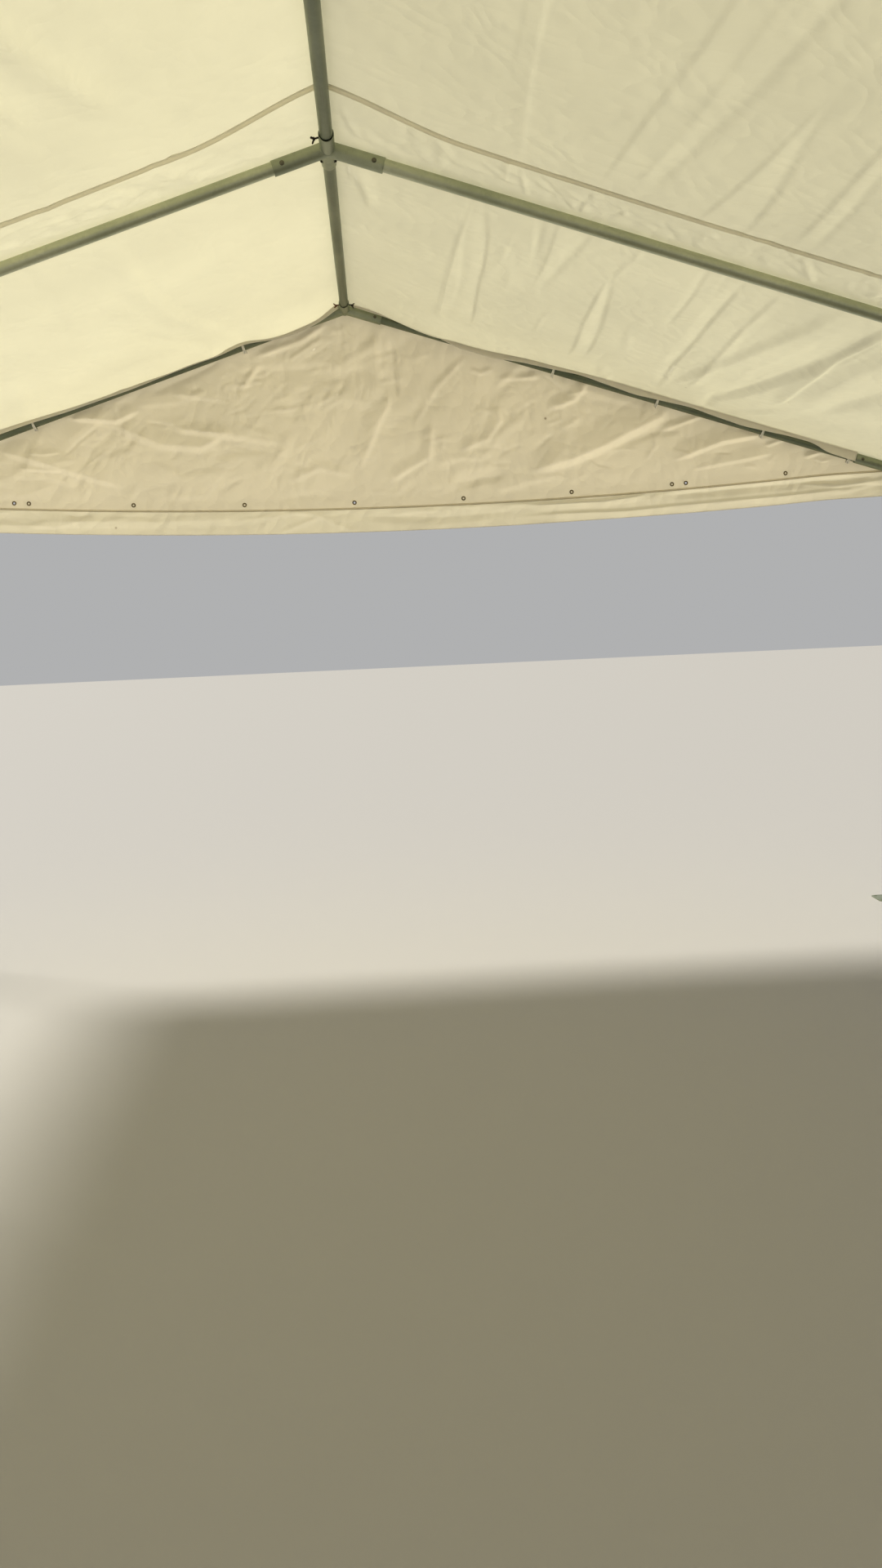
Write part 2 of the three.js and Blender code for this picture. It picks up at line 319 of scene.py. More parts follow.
# Repeats. The tree copies a small shape to every point of a mesh, turned as the point's own "turn" says, or
# to even places along its edges, turned to follow them, and both a little unevenly.
def copyTree(name, alongPath):
    tree = bpy.data.node_groups.new(name, "GeometryNodeTree")
    inputs = {"Places": "Geometry", "Shape": "Object", "Unevenness": "Float", "Seed": "Int",
              "Material": "Material"}
    if alongPath:
        inputs["Spacing"] = "Float"
    for label, kind in inputs.items():
        tree.interface.new_socket(label, in_out="INPUT", socket_type="NodeSocket" + kind)
    tree.interface.new_socket("Copies", in_out="OUTPUT", socket_type="NodeSocketGeometry")
    given = tree.nodes.new("NodeGroupInput").outputs
    model = addNode(tree, "GeometryNodeObjectInfo", Object=given["Shape"])
    scale = {"operation": "SCALE"}
    most = addNode(tree, "ShaderNodeVectorMath", scale, _0=(1, 1, 1), Scale=given["Unevenness"])
    least = addNode(tree, "ShaderNodeVectorMath", scale, _0=most, Scale=-1.0)
    jitter = addNode(tree, "FunctionNodeRandomValue", {"data_type": "FLOAT_VECTOR"}, _0=least, _1=most,
                     Seed=given["Seed"])
    if alongPath:
        path = addNode(tree, "GeometryNodeMeshToCurve", Mesh=given["Places"])
        places = addNode(tree, "GeometryNodeResampleCurve", {"mode": "LENGTH"}, Curve=path,
                         Length=given["Spacing"])
        heading = addNode(tree, "GeometryNodeInputTangent")
    else:
        places = given["Places"]
        heading = addNode(tree, "GeometryNodeInputNamedAttribute", {"data_type": "FLOAT_VECTOR"}, Name="turn")
    uneven = addNode(tree, "ShaderNodeVectorMath", {"operation": "ADD"}, _0=heading, _1=jitter)
    if alongPath:
        turn = addNode(tree, "FunctionNodeAlignRotationToVector", {"axis": "X"}, Vector=uneven)
    else:
        turn = addNode(tree, "FunctionNodeEulerToRotation", Euler=uneven)
    copies = addNode(tree, "GeometryNodeInstanceOnPoints", Points=places, Instance=model.outputs["Geometry"],
                     Rotation=turn)
    real = addNode(tree, "GeometryNodeRealizeInstances", Geometry=copies)
    coated = addNode(tree, "GeometryNodeSetMaterial", Geometry=real, Material=given["Material"])
    addNode(tree, "NodeGroupOutput", Copies=coated)
    return tree


pointTree, stitchTree = copyTree("copiesAtPoints", False), copyTree("stitchesAlongPath", True)


# Runs one of the trees on a mesh of points or edges and keeps the outcome as a plain mesh
def grown(name, slot, tree, mesh, shape, material, **values):
    model = shape.made(name + "_model", material)
    carrier = placed(name, mesh)
    modifier = carrier.modifiers.new("repeats", "NODES")
    modifier.node_group = tree
    values.update(Shape=model, Material=material)
    for socket in tree.interface.items_tree:
        if socket.in_out == "INPUT" and socket.name in values:
            modifier[socket.identifier] = values[socket.name]
    done = outcome(carrier)
    done.name = name
    bpy.data.objects.remove(model)
    return dress(placed(name, done), slot)


def repeated(name, slot, shape, material, places, unevenness=0.0, seed=1):
    mesh = bpy.data.meshes.new(name + "_places")
    mesh.from_pydata([tuple(place) for place, turn in places], [], [])
    turns = mesh.attributes.new("turn", "FLOAT_VECTOR", "POINT")
    turns.data.foreach_set("vector", np.array([tuple(turn) for place, turn in places], np.float32).ravel())
    return grown(name, slot, pointTree, mesh, shape, material, Unevenness=unevenness, Seed=seed)


# The turn that points a shape's +Z outwards, after a spin about it
def facing(outwards, spin=0.0):
    return (Vector(outwards).to_track_quat("Z", "Y") @ Quaternion((0, 0, 1), spin)).to_euler()


# Round tubes in place of the faceted ones
tubeKinds = ("post", "rafter", "ridge_tube", "eave_tube")
tubeNodes = [name for name in sorted(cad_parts) if name.startswith(tubeKinds)]
for node in tubeNodes:
    start, end = tubeEnds(node)
    profile = tubeProfile((end - start).length, steel["tubeRadius"], steel["tubeRadius"] - steel["tubeWall"])
    # The ridge and the far rafters get a darker copy of the zinc: painted shade, for the cover's shade over
    # them and the darker floor they reflect
    skin = shadePaintedZincTube if node.startswith(("ridge", "rafter_left_4", "rafter_right_4")) else zincTube
    dress(turned(Shape(), profile, start, end).made(node + "_steel", skin), steelSlot, node)
print("tubes", len(tubeNodes))


# A socket arm whose root follows the round wall of the sleeve that it's welded to, with the weld's bead
def socketArm(shape, centre, direction):
    across = direction.cross(alongY)
    outer, inner, mouth, rim = steel["socketRadius"], steel["bore"], steel["armReach"], steel["rim"]

    def ring(radius, distance=None, count=steel["facets"], sunk=steel["sink"]):
        found = []
        for c, s in roundTurn(count):
            reach = max(math.sqrt(max(outer ** 2 - (radius * s) ** 2, 0)) - sunk, 0)
            offset = alongY * (radius * c) + across * (radius * s)
            found.append(centre + offset + direction * (distance or reach))
        return found

    rings = [ring(inner), ring(inner, mouth - rim), ring(inner + rim, mouth), ring(outer - rim, mouth),
             ring(outer, mouth - rim), ring(outer)]
    marks = [0.02, mouth - rim, mouth, mouth, mouth - rim, 0.02, 0.02]
    width = 2 * math.pi * outer / steel["facets"]
    lofted(shape, rings, [(v0, v1, width) for v0, v1 in zip(marks, marks[1:])])
    path = ring(outer, None, 96, 0)
    ripples = [1 + 0.16 * math.sin(j * 2.4) + 0.1 * math.sin(j * 0.9) for j in range(len(path))]
    closedCord(shape, path, centre, [steel["bead"] * share for share in ripples], 0.7)


def weldedSocket(node, centre, directions, back, ahead):
    profile = tubeProfile(back + ahead, steel["socketRadius"], steel["bore"])
    shape = turned(Shape(), profile, centre - alongY * back, centre + alongY * ahead)
    for direction in directions:
        socketArm(shape, centre, direction)
    dress(shape.made(node + "_steel", zincSocket), socketSlot, node)


def downSlope(sign):
    return Vector((sign * math.cos(pitch), 0, -math.sin(pitch)))


for number, y in enumerate(frameYs):
    reaches = [steel["endStub" if number == end else "alongReach"] for end in (0, bayCount)]
    weldedSocket(f"ridge_joint_{number + 1}", Vector((0, y, ridgeZ)), [downSlope(-1), downSlope(1)], *reaches)
    for side, sign in sides.items():
        corner = Vector((sign * halfSpan, y, eaveZ))
        weldedSocket(f"eave_joint_{side}_{number + 1}", corner, [-downSlope(sign), -upwards], *reaches)
print("sockets", 3 * len(frameYs))

# Clamp screws with three wings, and plain hexagonal bolts
screw = {
    "shank": 0.0029,
    "standOff": 0.0105,  # from the socket's wall to the hub
    "hub": 0.0052,
    "hubHeight": 0.007,
    "wing": 0.0155,  # from the screw's axis to a wing's tip
    "wingTilt": 0.8,
    "wingRadius": 0.0028,
    "fromMouth": 0.013,
    "boltRadius": 0.0052,
    "boltHead": 0.0048,
    "boltFromMouth": 0.03,
    "ridgeBolt": 0.068,  # from a ridge joint's middle
}


def wingScrew():
    shank, hub, stand, tip = screw["shank"], screw["hub"], screw["standOff"], screw["wing"]
    top = stand + screw["hubHeight"]
    threads = [(0.0006 + 0.0005 * i, shank - 0.0004 * (i % 2)) for i in range(19)]
    body = [(-0.0008, 0), (-0.0008, shank)] + threads + [(stand, shank), (stand + 0.0004, hub - 0.0008),
            (stand + 0.0014, hub), (top - 0.0016, hub), (top, hub - 0.002), (top, 0)]
    shape = turned(Shape(), body, Vector(), upwards, 20, False)
    wing = [(0.002, 0), (0.003, 0.0024), (0.010, screw["wingRadius"]), (tip - 0.002, 0.0024),
            (tip - 0.0006, 0.0015), (tip, 0)]
    root = upwards * (stand + screw["hubHeight"] * 0.3)
    for c, s in roundTurn(3):
        turned(shape, wing, root, root + Vector((c, s, screw["wingTilt"])), 12, False)
    return shape


def hexBolt():
    radius, head = screw["boltRadius"], screw["boltHead"]
    washer, edge = radius + 0.002, 0.0006
    disc = [(-edge, 0), (-edge, washer), (edge, washer), (0.001, washer - 0.0004), (0.001, 0)]
    hexagon = [(0.0008, 0), (0.0008, radius), (head - edge, radius), (head, radius - 0.0011), (head, 0)]
    shape = turned(Shape(), disc, Vector(), upwards, 24, False)
    return turned(shape, hexagon, Vector(), upwards, 6, False)


# Each place is on the wall of a socket, looking straight out of it
def onWall(centre, along, distance, outwards, spin):
    outwards = Vector(outwards).normalized()
    return centre + along * distance + outwards * steel["socketRadius"], facing(outwards, spin)


wings, rustyWings, bolts, ridgeBolts = [], [], [], []
onArm = steel["armReach"] - screw["boltFromMouth"]
for number, y in enumerate(frameYs):
    ridge = Vector((0, y, ridgeZ))
    onSleeve = (steel["alongReach"] - screw["fromMouth"]) * (1 if number == 0 else -1)
    atFarEnd = number == bayCount
    wings.append(onWall(ridge, alongY, onSleeve, (1 if atFarEnd else -1, 0, -0.25), 0.4 + number))
    if atFarEnd:
        rustyWings.append(onWall(ridge, alongY, onSleeve, (-1, 0, -0.25), 1.3))
    for sign in sides.values():
        if number not in (0, bayCount):
            ridgeBolts.append(onWall(ridge, alongY, screw["ridgeBolt"], (sign, 0, -0.5), 0.3 * sign))
        bolts.append(onWall(ridge, downSlope(sign), onArm, -alongY, 0.2))
        eave = Vector((sign * halfSpan, y, eaveZ))
        wings.append(onWall(eave, alongY, onSleeve, (-sign, 0, -0.3), 0.9 * number))
        bolts.append(onWall(eave, -downSlope(sign), onArm, -alongY, 0.5))
        bolts.append(onWall(eave, -upwards, onArm, -alongY, 0.1))
repeated("wing_screws", socketSlot, wingScrew(), darkSteel, wings, 0.03, 3)
repeated("rusty_wing_screw", socketSlot, wingScrew(), rustySteel, rustyWings)
repeated("clamp_bolts", socketSlot, hexBolt(), zincBolt, bolts, 0.02, 4)
repeated("ridge_bolts", socketSlot, hexBolt(), darkSteel, ridgeBolts, 0.02, 6)
print("screws and bolts", len(wings) + len(rustyWings) + len(bolts) + len(ridgeBolts))

# Base plates: a flat square with four peg holes and a spigot welded to it
plate = {"side": 0.12, "thickness": 0.005, "corner": 0.014, "hole": 0.007, "holeOffset": 0.042,
         "spigotRadius": 0.017, "spigotWall": 0.002, "spigotTop": 0.11, "edge": 0.0005}


def arcPoints(x, y, radius, start, sweep, steps):
    angles = [start + sweep * i / steps for i in range(steps + 1)]
    return [(x + radius * math.cos(angle), y + radius * math.sin(angle)) for angle in angles]


def basePlate(node):
    centre = boxCentre(node)
    inner, off, edge = plate["side"] / 2 - plate["corner"], plate["holeOffset"], plate["edge"]
    outline = []
    for turn, (x, y) in enumerate(((inner, -inner), (inner, inner), (-inner, inner), (-inner, -inner))):
        outline += arcPoints(x, y, plate["corner"], (turn - 1) * math.pi / 2, math.pi / 2, 8)
    holes = [arcPoints(x, y, plate["hole"], 0, 2 * math.pi, 24)[:-1]
             for x in (-off, off) for y in (-off, off)]
    flat = withSettings(bpy.data.curves.new(node + "_outline", "CURVE"), dimensions="2D", fill_mode="BOTH",
                        extrude=plate["thickness"] / 2 - edge, bevel_depth=edge, bevel_resolution=1,
                        offset=-edge)
    for loop in [outline] + holes:
        spline = flat.splines.new("POLY")
        spline.points.add(len(loop) - 1)
        for point, (x, y) in zip(spline.points, loop):
            point.co = (x, y, 0, 1)
        spline.use_cyclic_u = True
    mesh = outcome(placed(node + "_steel", flat))
    work = bmesh.new()
    work.from_mesh(mesh)
    bmesh.ops.remove_doubles(work, verts=work.verts, dist=1e-5)
    bmesh.ops.translate(work, verts=work.verts, vec=Vector((centre.x, centre.y, plate["thickness"] / 2)))
    work.verts.index_update()
    points = [v.co.copy() for v in work.verts]
    faces = [[v.index for v in f.verts] for f in work.faces]
    work.free()
    bpy.data.meshes.remove(mesh)
    shape = Shape().add(points, faces, [(points[i].x, points[i].y) for face in faces for i in face])
    foot = Vector((centre.x, centre.y, plate["thickness"] * 0.6))
    radius = plate["spigotRadius"]
    spigot = tubeProfile(plate["spigotTop"] - foot.z, radius, radius - plate["spigotWall"])
    turned(shape, spigot, foot, foot + upwards, 32)
    dress(shape.made(node + "_steel", zincSocket, math.radians(30)), socketSlot, node)


for number in range(bayCount + 1):
    for side in sides:
        basePlate(f"base_plate_{side}_{number + 1}")
print("base plates", 2 * len(frameYs))


# Folds. Each is a line of places on its sheet, how far its crest stands out into the room (outdoors if
# negative), and how far it reaches to the left and to the right as one walks along the line. The tables are
# in centimetres, with the height and the two reaches first and the places after them.
def inMetres(table):
    return [(np.reshape(row[3:], (-1, 2)) / 100, *np.array(row[:3]) / 100) for row in table]


def smooth(value, low, high):
    share = np.clip((value - low) / (high - low), 0, 1)
    return share * share * (3 - 2 * share)


def foldHeight(s, t, folds):
    total = np.zeros_like(s)
    for line, height, left, right in folds:
        points = np.array(line)
        steps = np.diff(points, axis=0)
        lengths = np.hypot(steps[:, 0], steps[:, 1])
        marks = np.concatenate([[0], np.cumsum(lengths)])
        nearest, off, along = np.full(s.shape, np.inf), np.zeros_like(s), np.zeros_like(s)
        for (s0, t0), (ds, dt), length, mark in zip(points, steps, lengths, marks):
            run = np.clip(((s - s0) * ds + (t - t0) * dt) / length, 0, length)
            away = np.hypot(s - s0 - ds * run / length, t - t0 - dt * run / length)
            toRight = (s - s0) * dt - (t - t0) * ds > 0
            closer = away < nearest
            nearest = np.where(closer, away, nearest)
            off = np.where(closer, np.where(toRight, away, -away), off)
            along = np.where(closer, (mark + run) / marks[-1], along)
        taper = smooth(np.minimum(along, 1 - along) * 5, 0, 1)
        width = np.where(off > 0, right, left) * (0.5 + 0.5 * taper)
        crest = 0.04 * min(left, right)  # the fold's own rounding
        reach = (np.sqrt(off ** 2 + crest ** 2) - crest) / width
        total += height * taper * np.clip(1 - reach, 0, 1) ** 1.15
    return total


# Small folds from handling, each a bent line of three places
def handlingFolds(seed, count, low, high, lengths, heights, widths, heading, spread):
    draw = np.random.default_rng(seed)
    found = []
    for _ in range(count):
        middle = draw.uniform(low, high)
        angle, length = heading + draw.normal() * spread, draw.uniform(*lengths)
        bend = draw.normal() * 0.18
        tail, tip = (np.array([math.sin(a), math.cos(a)]) * length / 2 for a in (angle - bend, angle + bend))
        height, wide = draw.uniform(*heights) * draw.choice((-1, 1)), draw.uniform(*widths)
        skew = draw.uniform(0.5, 2.0)
        found.append(([middle - tail, middle, middle + tip], height, wide * skew, wide / skew))
    return found


# A run of places from low to high about a step apart, with some places kept exactly
def spaced(low, high, step, kept=()):
    kept = [place for place in kept if low <= place <= high] + [low, high]
    free = [place for place in np.arange(low, high, step) if min(abs(place - k) for k in kept) > 0.4 * step]
    return np.array(sorted(set(np.round(kept + free, 6))))


# A value along a strip from places and values in turn, in centimetres, with its corners rounded over 65 mm
def softRun(places, pairs):
    fine = np.arange(-0.1, 2.7, 0.005)
    level = np.interp(fine, *np.reshape(pairs, (-1, 2)).T / 100)
    return np.interp(places, fine, np.convolve(np.pad(level, 6, "edge"), np.full(13, 1 / 13), "valid"))


# A gentle waviness along a strip, made of a few sine waves
def ripple(places, seed, longest, shortest):
    draw = np.random.default_rng(seed)
    total = 0
    for length in np.geomspace(longest, shortest, 6):
        total = total + np.sin(2 * math.pi * (places / length + draw.uniform())) * (length / longest) ** 0.6
    return total / 2


def gridNormals(grid):
    normals = np.cross(np.gradient(grid, axis=1), np.gradient(grid, axis=0))
    return normals / np.linalg.norm(normals, axis=2, keepdims=True)


cover = {
    "thickness": 0.0009,
    "clear": steel["socketRadius"] + 0.0012,  # from the sockets' centrelines to the fabric's middle
    "sag": 0.045,  # of a roof panel in the middle of a bay
    "seamDrop": 0.012,  # from the eave tubes' centreline down to the side valance's seam
    "hem": 1.925,  # the side valances' lower edge above the ground
    # The grid's columns: up to each distance from the ridge, the step between them in metres
    "columns": {"left": [(1.9, 0.02), (2.25, 0.03), (slopeLength, 0.05)],
                "right": [(0.42, 0.010), (1.9, 0.0059), (2.25, 0.02), (slopeLength, 0.05)]},
    "row": 0.064,
    "fineRow": 0.015,  # between a welded band and the rafter beside it
    "relief": (0.0008, 0.0026),  # heights of the smallest folds
    # The side that the sun stands over hides its folds more, so there they are higher
    "reliefScale": {"left": 2.2, "right": 1},
    # Fine crinkles beside the rafters, where the fabric is pulled tight: their heading and its spread
    "crinkles": {"left": (-1.35, 0.3), "right": (0.9, 0.7)},
    # How deep the edge droops in front of the end rafters, as distances from the ridge plane and depths
    "droops": {
        "left": (3, 0, 7, 1.6, 13, 3.8, 19, 4.4, 28, 4.8, 35, 4.2, 41, 2.6, 46, 1.2, 52, 1.8, 58, 3.2,
                 70, 2.8, 79, 3.1, 90, 2.7, 111, 2.6, 122, 2.3, 133, 1.6, 144, 1, 155, 0.5, 180, 0.2, 220, 0),
        "right": (5, 0, 14, 0.8, 21, 2, 30, 3.3, 36, 4, 42, 4.2, 48, 3.6, 55, 3.6, 64, 3.3, 73, 2.4, 82, 1.6,
                  91, 1.4, 100, 1, 110, 0.6, 120, 0.3, 135, 0),
    },
}
seam = {
    "place": 0.70,  # from the tent's middle to a welded band
    "ridgePull": 0.10,  # how far the band is drawn towards the middle at the ridge
    "pullReach": 0.40,
    "width": 0.038,
}
ridgeArc, eaveArc = cover["clear"] * pitch, cover["clear"] * (math.pi / 2 - pitch)


# A closed sheet of cloth from a grid of points on its middle and a UV for each. Cells in holes are left open.
def clothPiece(name, grid, uvs, material, nodes=(), holes=None):
    offset = gridNormals(grid) * cover["thickness"] / 2
    rows, columns = grid.shape[:2]
    points = np.concatenate([(grid + offset).reshape(-1, 3), (grid - offset).reshape(-1, 3)])
    under = rows * columns
    index = np.arange(under).reshape(rows, columns)
    filled = np.zeros((rows + 1, columns + 1), bool)
    filled[1:-1, 1:-1] = True if holes is None else ~holes
    cells = filled[1:-1, 1:-1]
    a, b, c, d = index[:-1, :-1], index[:-1, 1:], index[1:, 1:], index[1:, :-1]
    top = np.stack([a, b, c, d], -1)[cells]
    faces = [top, top[:, ::-1] + under]
    # A rim wherever a filled cell meets an open one
    for beside, start, end in ((filled[:-2, 1:-1], a, b), (filled[2:, 1:-1], c, d), (filled[1:-1, :-2], d, a),
                               (filled[1:-1, 2:], b, c)):
        first, last = start[cells & ~beside], end[cells & ~beside]
        faces.append(np.stack([last, first, first + under, last + under], -1))
    faces = np.concatenate(faces)
    uv = np.tile(np.stack(uvs, -1).reshape(-1, 2), (2, 1))
    piece = asPiece(name, points.tolist(), faces.tolist(), uv[faces.ravel()], material)
    dress(piece, fabricSlot, *nodes)
    print(name, len(faces))


# Where the cover lies at a distance s from the ridge, measured round its section, at a share of the sag
def roofPoint(s, sagShare):
    sign = np.sign(s) + (s == 0)
    s = np.abs(s)
    gap = cover["clear"]
    run = np.clip(s - ridgeArc, 0, slopeLength)
    turn = np.clip((s - ridgeArc - slopeLength) / gap, 0, math.pi / 2 - pitch)
    fall = np.clip(s - ridgeArc - slopeLength - eaveArc, 0, None)
    tilt = np.where(s < ridgeArc, s / gap, pitch + turn)
    x = gap * np.sin(tilt) + run * math.cos(pitch)
    z = ridgeZ + gap * np.cos(tilt) - run * math.sin(pitch) - fall
    z = z - cover["sag"] * sagShare * np.sin(math.pi * np.clip(run / slopeLength, 0, 1))
    return sign * x, z


def sagAt(y):
    share = np.abs(np.sin(math.pi * (y - frameYs[0]) / (frameYs[1] - frameYs[0])))
    return np.where(np.abs(y) > frameYs[-1], 0, share)


# Seen in the photograph. Places are distances down the slope and along the tent.
roofFolds = {
    "right": [
        # The far bay
        (0.42, 1, 5, 45.5, 104, 44, 140, 43, 153, 42, 210, 41, 280),
        (-0.42, 5, 1, 47.5, 104, 52, 143, 53, 168, 53, 193, 56, 272),
        (0.18, 2.2, 1.2, 60, 128, 59, 153, 57, 171, 54, 186),
        (-0.26, 1.2, 2.2, 65, 106, 68, 134, 72, 152),
        (0.3, 1, 5, 72, 105, 73, 136, 73, 150, 72, 175),
        (-0.42, 5, 1, 83, 104, 80, 133, 78, 147, 74.5, 175),
        (0.16, 1.2, 2, 82, 193, 80, 214, 81, 245),
        (0.44, 1, 3.5, 92, 134, 94, 147, 94, 167, 95, 200, 98, 234, 100, 270),
        (-0.48, 3.5, 1, 93, 132, 96, 151, 99, 180, 101, 200, 103, 226, 105, 260),
        (0.28, 1, 2.2, 99, 105, 98, 119, 97, 126, 95, 142),
        (0.32, 2.2, 1.1, 110, 185, 117, 225),
        (0.6, 2.5, 2.5, 114, 268, 123, 296),
        (-0.32, 2.5, 1.1, 120, 105, 120, 119, 121, 134, 121, 175),
        (-0.56, 4.5, 1.3, 132, 104, 132, 151, 135, 222, 141, 263, 144, 290),
        (0.45, 1.2, 2, 136, 220, 138, 238, 143, 280),
        (0.46, 1.6, 4, 145, 105, 144, 157, 147, 209, 152, 270),
        (1.2, 4, 12, 165, 104, 165, 117, 156, 162, 148, 211, 145, 260),
        (-1.8, 12, 5, 180, 104, 180, 118, 178, 155, 173, 191, 168, 240, 164, 280),
        (0.8, 5.5, 1.4, 184, 110, 180, 162, 182, 199, 187, 250),
        (-0.7, 3, 4, 162, 255, 168, 295),
        (0.8, 4, 4, 195, 250, 179, 295),
        (1.2, 7, 12, 198, 108, 190, 170, 193, 230),
        (-1.4, 11, 6, 216, 108, 210, 170, 202, 240),
        (0.8, 1.4, 5, 4, 112, 10, 128, 13, 150),
        (0.4, 1.4, 2, 5, 116, 15, 122, 26, 126),
        # The middle bay
        (0.24, 4, 1, 48.5, -60, 50, 0, 51, 17, 53, 43, 55, 69),
        (0.12, 1.2, 3, 46, -50, 47, 20),
        (0.3, 1, 6, 86, -90, 83, -45, 82, -26, 79, 13, 77, 70),
        (0.13, 1, 2.5, 92, -70, 90, -28, 88, 9, 84, 70),
        (-0.38, 4, 2.2, 102, -90, 99, -55, 95, -10, 92, 20, 88, 71),
        (0.32, 1, 5, 109.5, -21, 109, 0, 108, 29, 106, 72),
        (-0.36, 5, 1.1, 110.5, -21, 112, 0, 116, 31, 119, 70),
        (0.36, 1, 4, 126, -30, 128, 5, 129, 19, 133, 69),
        (-0.28, 2.5, 1.1, 130, -10, 134, 24, 138, 69),
        (0.14, 1, 1.2, 38, 31, 41, 36, 46, 43, 51, 54, 51, 64),
        (0.16, 1.2, 1.2, 6, 20, 8, 30, 12, 39, 14, 47),
        (0.14, 1.2, 1.2, 6, 49, 9, 54, 12, 57),
        # Between the band and the rafter
        (0.36, 1, 1.8, 44, 77, 51, 85, 57, 90),
        (0.32, 1.2, 1.2, 55.5, 73, 60, 96),
        (-0.34, 2, 1, 60, 73, 66, 82, 75, 97),
        (0.26, 1, 3, 77, 73, 76, 96),
        (0.34, 3, 1, 34, 74, 34.5, 93),
        (0.32, 1.2, 1.4, 26, 88, 31, 92, 42, 95),
        (0.36, 1.2, 1.6, 5, 70, 7, 81, 10, 92),
        (0.32, 1.2, 1.2, 10, 87, 15, 91, 23, 95),
        (-0.3, 1.4, 1.4, 8, 74, 16, 86, 28, 93),
        (0.6, 2, 2, 138, 73, 149, 97),
    ],
    "left": [
        (1.1, 3, 8, 70, 106, 70, 175, 66, 205, 57, 250, 47, 298),
        (-1, 6, 3, 86, 215, 72, 250, 58, 295),
        (0.9, 2.5, 4, 86, 165, 72, 198),
        (1.2, 5, 6, 132, 220, 150, 295),
        (2, 4, 7, 66, -42, 63, -25, 60, -12, 57, 0, 53, 14, 50, 28),
        (1, 3, 3, 74, -5, 72, 4, 69, 15),
        (0.8, 3, 3, 37, 43, 28, 40),
        (0.8, 3, 3, 15, 20, 9, 17, 5, 14),
        (0.8, 3, 3, 17, 52, 10, 47, 5, 43),
        (0.8, 4, 5, 95, 30, 80, 24, 62, 26),
        (1, 2.2, 3, 49, 74, 42, 87, 38, 96),
        (-1, 3, 2.2, 61, 75, 54, 86, 49, 97),
        (1, 3, 3, 74, 77, 64, 86, 58, 95),
        (0.8, 2, 2.2, 27, 83, 22, 90, 18, 96),
        (0.6, 1.6, 1.6, 19, 82, 12, 87, 6, 88),
    ],
}


def roofSheet():
    slopeEnd = ridgeArc + slopeLength
    girth = slopeEnd + eaveArc + cover["seamDrop"] + 0.005
    across = [0]
    for side, sign in sides.items():
        half, low = [np.array([ridgeArc / 2, girth]), np.linspace(slopeEnd, slopeEnd + eaveArc, 7)], ridgeArc
        for high, step in cover["columns"][side]:
            half.append(spaced(low, high, step))
            low = high
        across = np.concatenate([across, sign * np.concatenate(half)])
    across = np.unique(across.round(6))
    kept = [sign * (seam["place"] + seam["width"] * off) for sign in (-1, 1) for off in (-0.5, 0, 0.5)]
    kept += [y + off for y in frameYs for off in (-0.022, 0, 0.022)]
    nextToFrame = frameYs[-1] - np.array([0.042, 0.050, 0.058, 0.07, 0.09, 0.12])
    kept += [sign * place for place in nextToFrame for sign in (-1, 1)]
    runs = [(-endY, -0.6, 0.18), (-0.6, seam["place"], cover["row"]), (seam["place"], 1.0, cover["fineRow"]),
            (1.0, endY, cover["row"])]
    rows = np.unique(np.concatenate([spaced(*run, kept) for run in runs]))
    s, row = np.meshgrid(across, rows)
    # Near a welded band the rows follow it, so that both bend alike
    pull = seam["ridgePull"] * (1 - smooth(np.abs(s), 0, seam["pullReach"]))
    y = row - np.sign(row) * pull * (1 - smooth(np.abs(np.abs(row) - seam["place"]), 0.03, 0.25))
    x, z = roofPoint(s, sagAt(y))
    grid = np.stack([x, y, z], -1)
    height = np.zeros_like(s)
    for side, sign in sides.items():
        down = s * sign
        relief = np.array(cover["relief"]) * cover["reliefScale"][side]
        handled = handlingFolds(11 + sign, 60, (0.15, -3), (2.4, 3), (0.25, 1.1), relief,
                                (0.015, 0.04), 0.0, 0.16)
        handled += handlingFolds(21 + sign, 150, (0.1, -3), (2.5, 3), (0.06, 0.3), relief * 0.8,
                                 (0.012, 0.028), 0.5, 0.9)
        # The right side is smooth up to its welded band
        calm = 0.25 + 0.75 * smooth(y, seam["place"] - 0.3, seam["place"]) if side == "right" else 1
        crinkles = handlingFolds(25 + sign, 120, (0.1, 0.75), (2.2, 0.97), (0.08, 0.26), relief * 1.2,
                                 (0.010, 0.02), *cover["crinkles"][side])
        seen = foldHeight(down, y, inMetres(roofFolds[side]) + crinkles)
        height += np.where(down > 0, seen + foldHeight(down, y, handled) * calm, 0)
    # The fabric bears on the ridge, the eaves and the rafters, where folds fade away
    bearing = smooth(np.abs(s), 0.02, 0.07) * (1 - smooth(np.abs(s), slopeEnd - 0.14, slopeEnd - 0.02))
    nearest = np.min([np.abs(y - place) for place in frameYs], axis=0)
    height = height * bearing * smooth(nearest, 0.024, 0.07)
    fromEnd = frameYs[-1] - np.abs(y)
    for side, sign in sides.items():
        deep = softRun(s * sign * math.cos(pitch), cover["droops"][side])
        height += deep * smooth(fromEnd, 0.041, 0.058) * (1 - smooth(fromEnd, 0.06, 0.35))
    grid = grid - gridNormals(grid) * height[..., None]
    clothPiece("roof_sheet", grid, (s, y), roofFabric,
               nodes=["roof_cover"])
    # The bands welded under it, one towards each end
    inside = grid - gridNormals(grid) * (cover["thickness"] + 0.0006)
    for name, sign in (("welded_band_back", 1), ("welded_band_front", -1)):
        mine = np.abs(rows * sign - seam["place"]) < seam["width"] / 2 + 1e-4
        clothPiece(name, inside[mine], (s[mine], y[mine]), bandFabric)


roofSheet()

